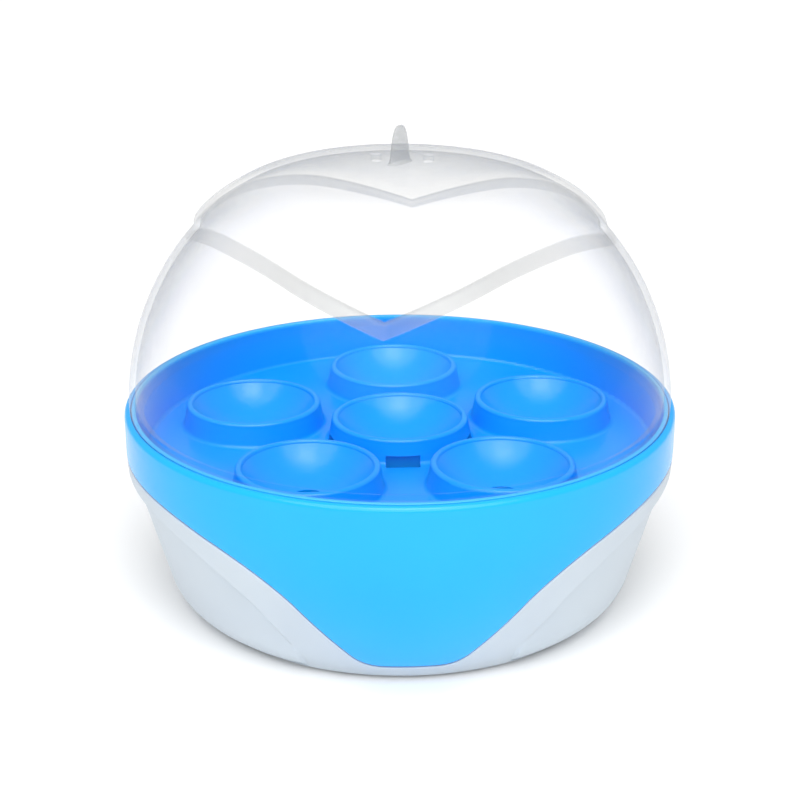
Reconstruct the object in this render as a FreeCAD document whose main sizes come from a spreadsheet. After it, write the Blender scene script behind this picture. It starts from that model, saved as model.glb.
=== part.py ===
import FreeCAD, Part
import Sketcher
import math
import os
from FreeCAD import Placement, Rotation, Vector

# Egg cooker: a blue and white bowl-shaped base with a heated water well, a lift-out tray
# with six egg cups, and a clear lid.  Origin at the middle of the base on the table,
# +Z up, the front (shield) facing -Y.  Millimetres.

doc = FreeCAD.newDocument("egg_cooker")
sheet = doc.addObject("Spreadsheet::Sheet", "Dims")

DRIVING = [
    ("rim_radius", 85.0, "outer radius of the housing at the rim"),
    ("rim_top", 61.7, "top of the housing's rim bead"),
    ("body_arc", 82.0, "radius of the arc that the housing's side follows"),
    ("body_arc_z", 52.0, "height where that arc becomes vertical"),
    ("shell", 2.0, "wall of the plastic shells"),
    ("fit", 0.3, "gap between loose parts"),
    ("shell_foot", 1.2, "height of the shells' lowest edge"),
    ("tray_top", 62.0, "top of the tray's lip, where the lid rests"),
    ("tray_floor", 48.0, "upper face of the tray's floor"),
    ("tray_wall", 1.2, "wall of the tray's side"),
    ("floor_wall", 1.8, "thickness of the tray's floor"),
    ("ledge_z", 56.0, "ledge that the tray sits on"),
    ("cup_circle", 48.5, "pitch radius of the five outer cups"),
    ("cup_top", 55.5, "top of an egg cup"),
    ("cup_foot_radius", 22.5, "outer radius at the foot of a cup"),
    ("cup_mouth", 19.2, "radius of the cup's mouth"),
    ("egg_arc", 24.0, "radius of the dished cup"),
    ("cup_drain", 5.0, "radius of the hole in the bottom of a cup"),
    ("slot_width", 10.5, "width of a steam slot"),
    ("lid_arc", 80.0, "radius of the arc that the lid's side follows"),
    ("lid_foot_radius", 83.5, "outer radius of the lid's foot"),
    ("lid_wall", 2.0, "wall of the lid"),
    ("cap_step", 2.2, "how far the cap lies inside the petals"),
    ("cap_foot_radius", 62.3, "radius of the cap at the foot of its shoulder"),
    ("cap_top", 135.9, "top of the cap"),
    ("cap_arc", 294.0, "radius of the nearly flat top"),
    ("cap_join", 33.0, "radius where the flat top meets the cap's shoulder"),
    ("shoulder_arc", 38.85, "radius of the cap's shoulder"),
    ("shoulder_foot", 116.0, "height of the foot of the cap's shoulder"),
    ("knob_height", 11.4, "height of the knob above the cap"),
    ("knob_width", 2.6, "thickness of the knob"),
    ("knob_length", 9.0, "length of the knob"),
    ("well_radius", 52.6, "outer radius of the water well"),
    ("well_floor", 30.0, "underside of the water well"),
    ("well_flange", 38.0, "underside of the well's flange"),
    ("sheet_metal", 1.0, "thickness of the well's sheet"),
    ("basin_z", 36.5, "upper face of the basin's flat floor"),
    ("post_circle", 60.5, "pitch radius of the cover screws"),
    ("stud_circle", 44.0, "pitch radius of the well's studs"),
    ("element_circle", 29.0, "centre-line radius of the heating element"),
    ("element_tube", 3.3, "tube radius of the heating element"),
    ("spreader_z", 27.5, "underside of the heat spreader"),
    ("cover_radius", 63.4, "radius of the bottom cover"),
    ("feet_circle", 46.0, "pitch radius of the feet"),
    ("foot_radius", 6.5, "radius of a foot"),
    ("switch_z", 27.0, "height of the rocker switch"),
    ("seat_y", 76.2, "flat seat of the switch"),
    ("switch_width", 21.0, "width of the switch frame"),
    ("switch_depth", 15.0, "height of the switch frame"),
    ("gland_z", 10.8, "height of the cord gland"),
    ("gland_bore", 3.2, "radius of the cord gland's bore"),
]


class Dim:
    """A size that carries both its value and the sheet formula that gives it."""

    def __init__(self, value, text):
        self.value = value
        self.text = text

    def __add__(self, other):
        other = dim(other)
        return Dim(self.value + other.value, f"({self.text} + {other.text})")

    def __sub__(self, other):
        other = dim(other)
        return Dim(self.value - other.value, f"({self.text} - {other.text})")

    def __mul__(self, other):
        other = dim(other)
        return Dim(self.value * other.value, f"({self.text} * {other.text})")

    def __truediv__(self, other):
        other = dim(other)
        return Dim(self.value / other.value, f"({self.text} / {other.text})")

    def __neg__(self):
        return dim(0) - self

    def __radd__(self, other):
        return dim(other) + self

    def __rsub__(self, other):
        return dim(other) - self

    def __rmul__(self, other):
        return dim(other) * self


def dim(size):
    """Any number as a Dim."""
    if isinstance(size, Dim):
        return size
    return Dim(float(size), f"({float(size)})")


def root(size):
    """Square root of a Dim."""
    return Dim(math.sqrt(size.value), f"sqrt({size.text})")


D = {}
for row, (alias, number, note) in enumerate(DRIVING, start=1):
    sheet.set(f"A{row}", note)
    sheet.set(f"B{row}", str(number))
    sheet.setAlias(f"B{row}", alias)
    D[alias] = Dim(number, f"Dims.{alias}")
doc.recompute()

nodes = []


def new_body(name):
    """A PartDesign body that is one sub-part."""
    body = doc.addObject("PartDesign::Body", name)
    body.Label = name
    nodes.append(body)
    return body


def origin_feature(body, role):
    """The body's own origin plane or axis."""
    return next(f for f in body.Origin.OriginFeatures if f.Role == role)


def new_sketch(body, name, plane="XZ_Plane", lift=0):
    """A sketch on an origin plane, lifted along the plane's normal."""
    sketch = body.newObject("Sketcher::SketchObject", name)
    sketch.AttachmentSupport = [(origin_feature(body, plane), "")]
    sketch.MapMode = "FlatFace"
    sketch.setExpression("AttachmentOffset.Base.z", dim(lift).text)
    return sketch


def fix(sketch, rules, sizes):
    """Add constraints and bind the sized ones to their formulas."""
    start = sketch.ConstraintCount
    sketch.addConstraint(rules)
    for index, size in sizes:
        sketch.setExpression(f"Constraints[{start + index}]", size.text)


def outline(sketch, corners, arcs=None):
    """A closed outline through corners; an edge in arcs is an arc, with a positive radius
    where it turns left and a negative one where it turns right."""
    arcs = {edge: dim(radius) for edge, radius in (arcs or {}).items()}
    spots = [(dim(u), dim(v)) for u, v in corners]
    points = [Vector(u.value, v.value, 0) for u, v in spots]
    first = sketch.GeometryCount
    count = len(points)
    edges, ends = [], []
    for i, start in enumerate(points):
        stop = points[(i + 1) % count]
        if i not in arcs:
            edges.append(Part.LineSegment(start, stop))
            ends.append((1, 2))
            continue
        radius = arcs[i].value
        chord = stop - start
        reach = math.sqrt(radius ** 2 - (chord.Length / 2) ** 2)
        left = Vector(-chord.y, chord.x, 0).normalize()
        centre = (start + stop) * 0.5 + left * math.copysign(reach, radius)
        sweep = (start, stop) if radius > 0 else (stop, start)
        angles = [math.atan2(p.y - centre.y, p.x - centre.x) for p in sweep]
        circle = Part.Circle(centre, Vector(0, 0, 1), abs(radius))
        edges.append(Part.ArcOfCircle(circle, *angles))
        ends.append((1, 2) if radius > 0 else (2, 1))
    sketch.addGeometry(edges, False)
    rules, sizes = [], []
    for i, spot in enumerate(spots):
        before = (i - 1) % count
        rules.append(Sketcher.Constraint("Coincident", first + before, ends[before][1],
                                         first + i, ends[i][0]))
        for kind, size in zip(("DistanceX", "DistanceY"), spot):
            sizes.append((len(rules), size))
            rules.append(Sketcher.Constraint(kind, -1, 1, first + i, ends[i][0], size.value))
    for i, radius in arcs.items():
        size = radius if radius.value > 0 else -radius
        sizes.append((len(rules), size))
        rules.append(Sketcher.Constraint("Radius", first + i, size.value))
    fix(sketch, rules, sizes)


def box_outline(sketch, left, low, right, high):
    """A rectangle between two corners."""
    outline(sketch, [(left, low), (right, low), (right, high), (left, high)])


def circle(sketch, u, v, radius):
    """A circle at (u, v)."""
    u, v, radius = dim(u), dim(v), dim(radius)
    index = sketch.GeometryCount
    centre = Vector(u.value, v.value, 0)
    sketch.addGeometry(Part.Circle(centre, Vector(0, 0, 1), radius.value), False)
    fix(sketch,
        [Sketcher.Constraint("Radius", index, radius.value),
         Sketcher.Constraint("DistanceX", -1, 1, index, 3, u.value),
         Sketcher.Constraint("DistanceY", -1, 1, index, 3, v.value)],
        [(0, radius), (1, u), (2, v)])


def turn(body, name, sketch, kind="Revolution", axis=None, angle=360):
    """Revolve a sketch about the body's Z axis, or about the axis given."""
    feature = body.newObject(f"PartDesign::{kind}", name)
    feature.Profile = sketch
    feature.ReferenceAxis = axis or (origin_feature(body, "Z_Axis"), [""])
    feature.Angle = angle
    return feature


def push(body, name, sketch, length=None, kind="Pad", both=False, reverse=False):
    """Pad or pocket a sketch; without a length a pocket goes through everything."""
    feature = body.newObject(f"PartDesign::{kind}", name)
    feature.Profile = sketch
    if length is None:
        feature.Type = "ThroughAll"
    else:
        feature.setExpression("Length", dim(length).text)
    feature.Midplane = both
    feature.Reversed = reverse
    return feature


def around(body, name, originals, count):
    """Repeat features about the Z axis."""
    ring = body.newObject("PartDesign::PolarPattern", name)
    ring.Originals = originals
    ring.Axis = (origin_feature(body, "Z_Axis"), [""])
    ring.Angle = 360
    ring.Occurrences = count
    body.Tip = ring
    return ring


def on_circle(radius, degrees):
    """A point on a circle about the Z axis."""
    angle = math.radians(degrees)
    return dim(radius) * math.cos(angle), dim(radius) * math.sin(angle)


def ring_body(name, corners, arcs=None):
    """A sub-part that is one revolved section."""
    body = new_body(name)
    section = new_sketch(body, f"{name}_section")
    outline(section, corners, arcs)
    turn(body, f"{name}_turned", section)
    return body


def side(z, inset=0):
    """Radius of the housing's side at height z, inset from its outer surface."""
    rise = D["body_arc_z"] - z
    reach = D["body_arc"] - inset
    return D["rim_radius"] - D["body_arc"] + root(reach * reach - rise * rise)


def dome(z, inset=0):
    """Radius of the lid's lower dome at height z, inset from its outer surface."""
    rise = z - D["tray_top"]
    reach = D["lid_arc"] - inset
    return D["lid_foot_radius"] - D["lid_arc"] + root(reach * reach - rise * rise)


# ---------------------------------------------------------------- lid
# Clear moulded dome: two petals low on the sides, proud of the cap by a step that runs
# round the shoulder and dips to a V at the front and the back.
lid = new_body("lid_dome")
PETAL_TOP = 122.0
section = new_sketch(lid, "petal_section")
petal_wall = D["cap_step"] + 1.2
outline(section,
        [(dome(D["tray_top"]), D["tray_top"]), (dome(dim(PETAL_TOP)), PETAL_TOP),
         (dome(dim(PETAL_TOP), petal_wall), PETAL_TOP),
         (dome(D["tray_top"], D["lid_wall"]), D["tray_top"])],
        {0: D["lid_arc"], 2: petal_wall - D["lid_arc"]})
turn(lid, "petal_dome", section)

# The petals' upper edge, seen from the front: level at the sides, then down to the V.
V_DEPTH = 104.6
V_FLANK = (10.0, 108.4)
V_RISE = (27.0, 115.4)
CREST = (46.0, 118.6)
WING = (66.0, 113.8)
section = new_sketch(lid, "petal_edge")
outline(section,
        [(-95, 104), (-WING[0], WING[1]), (-CREST[0], CREST[1]), (-V_RISE[0], V_RISE[1]),
         (-V_FLANK[0], V_FLANK[1]), (0, V_DEPTH), V_FLANK, V_RISE, CREST, WING, (95, 104),
         (95, 150), (-95, 150)],
        {1: -40, 2: -40, 7: -40, 8: -40})
push(lid, "petal_trim", section, kind="Pocket", both=True)

# The cap: inside the petals at first, then steeper up to the foot of its shoulder.
CAP_LOW = 91.0
CAP_LOW_INSIDE = 97.0
CAP_TURN = 108.0
cap_inset = D["cap_step"]
inner_inset = D["cap_step"] + D["lid_wall"]
shoulder_z = D["shoulder_foot"]
flat_drop = D["cap_arc"] - root(D["cap_arc"] * D["cap_arc"] - D["cap_join"] * D["cap_join"])
join_z = D["cap_top"] - flat_drop
lean = D["lid_wall"] * D["cap_join"] / D["cap_arc"]
section = new_sketch(lid, "cap_section")
outline(section,
        [(dome(dim(CAP_LOW), cap_inset), CAP_LOW),
         (dome(dim(CAP_TURN), cap_inset), CAP_TURN),
         (D["cap_foot_radius"], shoulder_z),
         (D["cap_join"], join_z),
         (0, D["cap_top"]),
         (0, D["cap_top"] - D["lid_wall"]),
         (D["cap_join"] - lean, join_z - D["lid_wall"]),
         (D["cap_foot_radius"] - D["lid_wall"], shoulder_z - 0.9),
         (dome(dim(CAP_TURN), inner_inset), CAP_TURN - 0.4),
         (dome(dim(CAP_LOW_INSIDE), inner_inset), CAP_LOW_INSIDE)],
        {0: D["lid_arc"] - cap_inset, 2: D["shoulder_arc"], 3: D["cap_arc"],
         5: D["lid_wall"] - D["cap_arc"], 6: D["lid_wall"] - D["shoulder_arc"],
         8: inner_inset - D["lid_arc"]})
turn(lid, "cap", section)

# The foot stands on the tray's lip and has a short skirt that centres it inside the tray.
SKIRT_RADIUS = 79.2
SKIRT_LOW = 59.0
section = new_sketch(lid, "foot_section")
outline(section,
        [(SKIRT_RADIUS, SKIRT_LOW), (SKIRT_RADIUS + 1.3, SKIRT_LOW),
         (SKIRT_RADIUS + 1.3, D["tray_top"]), (D["lid_foot_radius"] - 0.4, D["tray_top"]),
         (D["lid_foot_radius"] - 0.4, D["tray_top"] + 1.8),
         (SKIRT_RADIUS, D["tray_top"] + 1.8)])
turn(lid, "foot", section)

PEG = 2.0
section = new_sketch(lid, "knob_hole_and_vents", "XY_Plane", 120)
circle(section, 0, 0, PEG + 0.1)
for x in (-8, 8):
    circle(section, x, 12, 1.6)
push(lid, "holes", section, 30, kind="Pocket", reverse=True)
LID_YAW = -6
lid.Placement = Placement(Vector(0, 0, 0), Rotation(Vector(0, 0, 1), LID_YAW))

# Leaf-shaped knob: a blade with a round top, swept in at both ends, on a peg that is
# pressed through the top of the cap.
knob = new_body("lid_knob")
KNOB_SINK = 0.35
KNOB_SWEEP = 13.0
half = D["knob_length"] / 2
thick = D["knob_width"] / 2
low = D["cap_top"] + KNOB_SINK
high = D["cap_top"] + D["knob_height"]
section = new_sketch(knob, "blade_outline")
outline(section, [(-thick, low), (thick, low), (thick, high - thick), (-thick, high - thick)],
        {2: thick * 1.02})
push(knob, "blade", section, D["knob_length"] + 2, both=True)
section = new_sketch(knob, "blade_ends", "YZ_Plane")
for sign in (1, -1):
    outline(section,
            [(half * sign, low - 1), (half * 0.28 * sign, high + 0.4),
             (half * 2 * sign, high + 0.4), (half * 2 * sign, low - 1)],
            {0: KNOB_SWEEP * sign})
push(knob, "blade_sweep", section, kind="Pocket", both=True)
section = new_sketch(knob, "peg_outline", "XY_Plane", D["cap_top"] - 4)
circle(section, 0, 0, PEG)
push(knob, "peg", section, 6)
KNOB_YAW = -37
knob.Placement = Placement(Vector(0, 0, 0), Rotation(Vector(0, 0, 1), KNOB_YAW))

# ---------------------------------------------------------------- tray
# Lift-out tray: a lip that sits in the rim, a shallow wall, a floor and six egg cups.
tray = new_body("egg_tray")
LIP_OUT = 82.8
LIP_IN = 81.4
FLOOR_IN = 79.0
wall_foot = FLOOR_IN + D["tray_wall"]
under = D["tray_floor"] - D["floor_wall"]
section = new_sketch(tray, "tray_section")
outline(section,
        [(0, under), (FLOOR_IN - 0.6, under), (wall_foot, under + 1.8),
         (LIP_OUT - 1.25, D["ledge_z"]), (LIP_OUT, D["ledge_z"]),
         (LIP_OUT, D["tray_top"] - 0.4), (LIP_OUT - 0.4, D["tray_top"]),
         (LIP_IN + 0.4, D["tray_top"]), (LIP_IN, D["tray_top"] - 0.6),
         (FLOOR_IN, D["tray_floor"] + 1.2), (FLOOR_IN - 1.2, D["tray_floor"]),
         (0, D["tray_floor"])],
        {1: 1.9, 5: 0.4, 7: 0.6, 9: -1.2})
turn(tray, "tray_shell", section)

dish_z = D["cup_top"] - 0.9 + root(D["egg_arc"] * D["egg_arc"] - D["cup_mouth"] * D["cup_mouth"])


def dish(radius, arc):
    """Height of the dished cup's arc at a distance from the cup's axis."""
    return dish_z - root(arc * arc - dim(radius) * radius)


CUP_FLARE = 1.2


def cup(centre, name):
    """The cup's collar and dish as an added section and its hollow as a cut one."""
    outer_arc = D["egg_arc"] + 1.8
    foot = root(outer_arc * outer_arc - (dish_z - under) * (dish_z - under))
    collar = new_sketch(tray, f"{name}_collar")
    outline(collar,
            [(centre + D["cup_drain"], dish(D["cup_drain"], outer_arc)),
             (centre + foot, under), (centre + D["cup_foot_radius"] + CUP_FLARE, under),
             (centre + D["cup_foot_radius"] + CUP_FLARE, D["tray_floor"]),
             (centre + D["cup_foot_radius"] - 0.2, D["tray_floor"] + CUP_FLARE),
             (centre + D["cup_foot_radius"] - 1.2, D["cup_top"] - 1),
             (centre + D["cup_foot_radius"] - 2.2, D["cup_top"]),
             (centre + D["cup_mouth"] + 0.5, D["cup_top"]),
             (centre + D["cup_mouth"], dish(D["cup_mouth"], D["egg_arc"])),
             (centre + D["cup_drain"], dish(D["cup_drain"], D["egg_arc"]))],
            {0: outer_arc, 3: -1.32, 5: 1.0, 7: 0.9, 8: -D["egg_arc"]})
    hollow = new_sketch(tray, f"{name}_hollow")
    outline(hollow,
            [(centre, under - 5), (centre + D["cup_drain"], under - 5),
             (centre + D["cup_drain"], dish(D["cup_drain"], D["egg_arc"])),
             (centre + D["cup_mouth"], dish(D["cup_mouth"], D["egg_arc"])),
             (centre + D["cup_mouth"], D["cup_top"] + 1), (centre, D["cup_top"] + 1)],
            {2: D["egg_arc"]})
    features = []
    for sketch, kind, word in ((collar, "Revolution", "wall"), (hollow, "Groove", "pocket")):
        line = sketch.addGeometry(
            Part.LineSegment(Vector(centre.value, 0, 0), Vector(centre.value, 10, 0)), True)
        fix(sketch,
            [Sketcher.Constraint("Vertical", line),
             Sketcher.Constraint("DistanceX", -1, 1, line, 1, centre.value),
             Sketcher.Constraint("DistanceY", -1, 1, line, 1, 0),
             Sketcher.Constraint("DistanceY", line, 1, line, 2, 10)],
            [(1, centre)])
        features.append(turn(tray, f"{name}_{word}", sketch, kind, (sketch, ["Axis0"])))
    return features


cup(dim(0), "middle_cup")
OUTER_CUPS = 5
BACK_TURN = 90
outer = cup(D["cup_circle"], "outer_cup")
around(tray, "outer_cups", outer, OUTER_CUPS)

# Five steam slots at the foot of the middle cup, between the outer ones.
section = new_sketch(tray, "slot_outline", "XY_Plane", under - 1)
SLOT_IN = 20.2
SLOT_OUT = 24.5
box_outline(section, -SLOT_OUT, -D["slot_width"] / 2, -SLOT_IN, D["slot_width"] / 2)
slot = push(tray, "steam_slot", section, 5.4, kind="Pocket", reverse=True)
around(tray, "steam_slots", [slot], OUTER_CUPS)
tray.Placement = Placement(Vector(0, 0, 0), Rotation(Vector(0, 0, 1), BACK_TURN))

# ---------------------------------------------------------------- upper housing
# Blue moulding: the skirt is trimmed to a shield at the front and the back, and carries
# the rim bead, the tray's ledge and the basin round the water well.
upper = new_body("upper_housing")
SKIRT_CUT = 4.0
OVERLAP_Z = 57.0
wall = D["shell"]

# Block behind the skirt that the switch is sunk into, cut to end inside the skirt's wall.
SEAT_HALF = 12.6
SEAT_DEPTH = 9.8
seat_low = D["switch_z"] - 8.8
seat_high = D["switch_z"] + 9.0
section = new_sketch(upper, "switch_seat_outline", lift=-(D["seat_y"] - wall))
box_outline(section, -SEAT_HALF, seat_low, SEAT_HALF, seat_high)
push(upper, "switch_seat", section, SEAT_DEPTH, reverse=True)
FAR = 110.0
section = new_sketch(upper, "switch_seat_trim")
outline(section,
        [(side(dim(SKIRT_CUT), wall / 2), SKIRT_CUT),
         (D["rim_radius"] - wall / 2, D["body_arc_z"]),
         (FAR, D["body_arc_z"]), (FAR, SKIRT_CUT)],
        {0: D["body_arc"] - wall / 2})
turn(upper, "switch_seat_end", section, kind="Groove")

section = new_sketch(upper, "skirt_section")
outline(section,
        [(side(dim(SKIRT_CUT)), SKIRT_CUT), (D["rim_radius"], D["body_arc_z"]),
         (D["rim_radius"], OVERLAP_Z), (D["rim_radius"] - wall, OVERLAP_Z),
         (D["rim_radius"] - wall, D["body_arc_z"]), (side(dim(SKIRT_CUT), wall), SKIRT_CUT)],
        {0: D["body_arc"], 4: wall - D["body_arc"]})
turn(upper, "skirt", section)

# Shield edge, right half, from the middle outwards: flat foot, rounded corner, straight
# flank, then a long easing curve into the side band.  drop lowers the whole edge.
FOOT_HALF = 8.0
SHIELD_LOW = 5.8
CORNER = (16.5, 9.6)
FLANK = (33.5, 28.6)
EASE = (58.0, 43.1)
BAND = (86.0, 47.9)


def shield_edge(gap):
    """Corners of the trimmed edge, right half, moved down and out by gap."""
    slide = gap * 0.72
    return [(FOOT_HALF, SHIELD_LOW - gap), (CORNER[0] + slide, CORNER[1] - slide),
            (FLANK[0] + slide, FLANK[1] - slide), (EASE[0] + gap * 0.5, EASE[1] - gap * 0.9),
            (BAND[0], BAND[1] - gap)]


def both_sides(right):
    """An edge given for the right half, mirrored and joined from left to right."""
    return [(-x, z) for x, z in reversed(right)] + right


# Arc radii of the mirrored shield edge, numbered from its left end.
SHIELD_ARCS = {0: -76, 1: -63, 3: 12, 5: 12, 7: -63, 8: -76}

section = new_sketch(upper, "shield_trim_outline")
edge = both_sides(shield_edge(0))
outline(section, edge + [(BAND[0], -5), (-BAND[0], -5)], SHIELD_ARCS)
push(upper, "shield_trim", section, kind="Pocket", both=True)

BEAD_IN = 83.1
BEAD_ROUND = 1.6
section = new_sketch(upper, "rim_and_basin_section")
outline(section,
        [(D["rim_radius"], OVERLAP_Z - 2), (D["rim_radius"], D["rim_top"] - BEAD_ROUND),
         (D["rim_radius"] - BEAD_ROUND, D["rim_top"]), (BEAD_IN, D["rim_top"]),
         (BEAD_IN, D["ledge_z"]), (LIP_OUT - 0.9, D["ledge_z"]),
         (80.6, 46.5), (78.4, 44.2), (62, D["basin_z"]), (54.5, D["basin_z"]),
         (54.5, D["basin_z"] - 4.5), (56.2, D["basin_z"] - 4.5), (56.2, D["basin_z"] - 1.8),
         (62.4, D["basin_z"] - 1.8), (79.0, 42.5), (82.0, 45.2), (82.0, 48.6), (83.6, 50.0),
         (83.6, OVERLAP_Z - 2)],
        {1: BEAD_ROUND})
turn(upper, "rim_and_basin", section)

section = new_sketch(upper, "switch_recess_outline", lift=-D["seat_y"])
box_outline(section, -11.2, D["switch_z"] - 8, 11.2, D["switch_z"] + 8)
push(upper, "switch_recess", section, 20, kind="Pocket")
section = new_sketch(upper, "switch_cutout_outline", lift=-D["seat_y"])
box_outline(section, -9.6, D["switch_z"] - 6.5, 9.6, D["switch_z"] + 6.5)
push(upper, "switch_cutout", section, 10, kind="Pocket", reverse=True)
section = new_sketch(upper, "gland_notch_outline", lift=-60)
circle(section, 0, D["gland_z"], 6.9)
push(upper, "gland_notch", section, 40, kind="Pocket")

POST = 3.6
SCREW_CORE = 1.3
section = new_sketch(upper, "post_outline", "XY_Plane", 5.8)
circle(section, *on_circle(D["post_circle"], 45), POST)
circle(section, *on_circle(D["post_circle"], 45), SCREW_CORE)
post = push(upper, "post", section, D["basin_z"] - 5.8 - 0.9)
around(upper, "posts", [post], 4)

# ---------------------------------------------------------------- lower housing
# White moulding: a bowl behind the shield, a proud strip that frames the shield and
# recessed lobes at the sides.  The three are modelled apart and fused.


def lower_piece(name):
    """A body that becomes one part of the lower housing."""
    body = doc.addObject("PartDesign::Body", name)
    body.Label = name
    return body


STRIP_TOP = 47.3
STRIP_IN = 3.3
CAVITY = 64.0
GAP = D["fit"]
foot_z = D["shell_foot"]
strip = lower_piece("strip_piece")
section = new_sketch(strip, "strip_section")
outline(section,
        [(side(foot_z), foot_z), (side(dim(STRIP_TOP)), STRIP_TOP), (82.4, STRIP_TOP),
         (82.4, 43.4), (side(dim(42.0), STRIP_IN), 42.0), (side(dim(4.2), STRIP_IN), 4.2),
         (CAVITY, foot_z)],
        {0: D["body_arc"], 4: STRIP_IN - D["body_arc"]})
turn(strip, "strip", section)
section = new_sketch(strip, "strip_upper_trim")
edge = both_sides(shield_edge(GAP.value))
outline(section, edge + [(BAND[0], 70), (-BAND[0], 70)], SHIELD_ARCS)
push(strip, "above_strip", section, kind="Pocket", both=True)

# The crease between the strip and a lobe, right half, from the foot outwards.
CREASE = [(28.8, -2), (31.3, 8.0), (44.0, 23.6), (72.9, 40.6), (90, 43.6)]
CREASE_ARCS = {2: 77, 3: 70}
for name, sign in (("right_lobe_cut", 1), ("left_lobe_cut", -1)):
    section = new_sketch(strip, f"{name}_outline")
    edge = [(sign * x, z) for x, z in CREASE] + [(sign * 90, -2)]
    outline(section, edge, {i: -sign * radius for i, radius in CREASE_ARCS.items()})
    push(strip, name, section, kind="Pocket", both=True)

# Lobes: a full foot, then a nearly straight flare up to the crease.
LOBE_TUCK = 1.5
LOBE_WALL = 2.2
lobes = lower_piece("lobe_piece")
section = new_sketch(lobes, "lobe_section")
outline(section,
        [(CAVITY + 2.3, foot_z), (73.5, 9.8), (82.9, 43.0), (82.9 - LOBE_WALL, 43.0),
         (73.5 - LOBE_WALL, 10.4), (CAVITY + 0.6, 4.0), (CAVITY, foot_z)],
        {0: 12, 4: -14})
turn(lobes, "lobe_ring", section)
section = new_sketch(lobes, "lobe_trim_outline")
inner_edge = both_sides([(x - LOBE_TUCK, z) for x, z in CREASE])
last = len(CREASE) - 1
arcs = {}
for i, radius in CREASE_ARCS.items():
    arcs[last - 1 - i] = -radius
    arcs[last + 1 + i] = -radius
outline(section, inner_edge + [(90 - LOBE_TUCK, 70), (LOBE_TUCK - 90, 70)], arcs)
push(lobes, "lobe_trim", section, kind="Pocket", both=True)

# Bowl behind the shield, with the flange that the cover is screwed against.
BOWL_OUT = 2.8
bowl_in = BOWL_OUT + D["shell"]
BOWL_TOP = 42.4
FLANGE_IN = 56.0
FLANGE_LOW = 3.7
FLANGE_TOP = 5.6
bowl = lower_piece("bowl_piece")
section = new_sketch(bowl, "bowl_section")
outline(section,
        [(side(dim(FLANGE_LOW), BOWL_OUT), FLANGE_LOW),
         (side(dim(BOWL_TOP), BOWL_OUT), BOWL_TOP), (side(dim(BOWL_TOP), bowl_in), BOWL_TOP),
         (side(dim(FLANGE_TOP), bowl_in), FLANGE_TOP), (FLANGE_IN, FLANGE_TOP),
         (FLANGE_IN, FLANGE_LOW)],
        {0: D["body_arc"] - BOWL_OUT, 2: bowl_in - D["body_arc"]})
turn(bowl, "bowl", section)
section = new_sketch(bowl, "screw_hole_outline", "XY_Plane", 2)
circle(section, *on_circle(D["post_circle"], 45), 1.7)
hole = push(bowl, "screw_hole", section, 5, kind="Pocket", reverse=True)
around(bowl, "screw_holes", [hole], 4)

section = new_sketch(bowl, "switch_window_outline", lift=-60)
box_outline(section, -13.4, D["switch_z"] - 9.2, 13.4, D["switch_z"] + 18)
push(bowl, "switch_window", section, 40, kind="Pocket")
section = new_sketch(bowl, "gland_boss_outline", lift=-68.5)
circle(section, 0, D["gland_z"], 6.2)
push(bowl, "gland_boss", section, 5.5, reverse=True)
section = new_sketch(bowl, "gland_hole_outline", lift=-60)
circle(section, 0, D["gland_z"], 4.4)
push(bowl, "gland_hole", section, 30, kind="Pocket")

lower = doc.addObject("Part::MultiFuse", "lower_housing")
lower.Label = "lower_housing"
lower.Shapes = [bowl, strip, lobes]
nodes.append(lower)

# ---------------------------------------------------------------- water well and heater
# Pressed sheet well: flat floor, upright side, flange on the seal, three welded studs.
skin = D["sheet_metal"]
well_r = D["well_radius"]
well = new_body("water_well")
FLANGE_OUT = 57.2
section = new_sketch(well, "well_section")
outline(section,
        [(0, D["well_floor"]), (well_r - 3, D["well_floor"]), (well_r, D["well_floor"] + 3),
         (well_r, D["well_flange"]), (FLANGE_OUT, D["well_flange"]),
         (FLANGE_OUT, D["well_flange"] + skin), (well_r - skin, D["well_flange"] + skin),
         (well_r - skin, D["well_floor"] + 3), (well_r - 3, D["well_floor"] + skin),
         (0, D["well_floor"] + skin)],
        {1: 3, 7: -2})
turn(well, "well_shell", section)
STUD = 2.0
STUD_LOW = 21.5
section = new_sketch(well, "stud_outline", "XY_Plane", STUD_LOW)
circle(section, *on_circle(D["stud_circle"], 60), STUD)
stud = push(well, "stud", section, D["well_floor"] - STUD_LOW + skin / 2)
around(well, "studs", [stud], 3)

# Silicone seal between the well's flange and the edge of the basin.
ring_body("well_seal",
          [(53.0, 32.6), (54.2, 32.6), (54.2, D["basin_z"] + 0.05), (58.0, D["basin_z"] + 0.05),
           (58.0, D["well_flange"] - 0.05), (53.0, D["well_flange"] - 0.05)])

# Steel ring that pulls the well down against the basin's edge.
clamp = ring_body("clamp_ring",
                  [(39.5, 25.6), (56.3, 25.6), (56.3, 31.9), (55.1, 31.9), (55.1, 26.8),
                   (39.5, 26.8)])
section = new_sketch(clamp, "clamp_hole_outline", "XY_Plane", 24)
circle(section, *on_circle(D["stud_circle"], 60), STUD + 0.3)
hole = push(clamp, "clamp_hole", section, 4, kind="Pocket", reverse=True)
around(clamp, "clamp_holes", [hole], 3)

HEX = 3.9
NUT_HEIGHT = 3.0


def hexagon(sketch, u, v, reach):
    """A hexagon about (u, v)."""
    corners = []
    for k in range(6):
        x, y = on_circle(reach, 60 * k)
        corners.append((dim(u) + x, dim(v) + y))
    outline(sketch, corners)


nuts = new_body("stud_nuts")
section = new_sketch(nuts, "nut_outline", "XY_Plane", 25.55 - NUT_HEIGHT)
hexagon(section, *on_circle(D["stud_circle"], 60), HEX)
circle(section, *on_circle(D["stud_circle"], 60), STUD + 0.05)
nut = push(nuts, "nut", section, NUT_HEIGHT)
around(nuts, "nut_group", [nut], 3)

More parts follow.
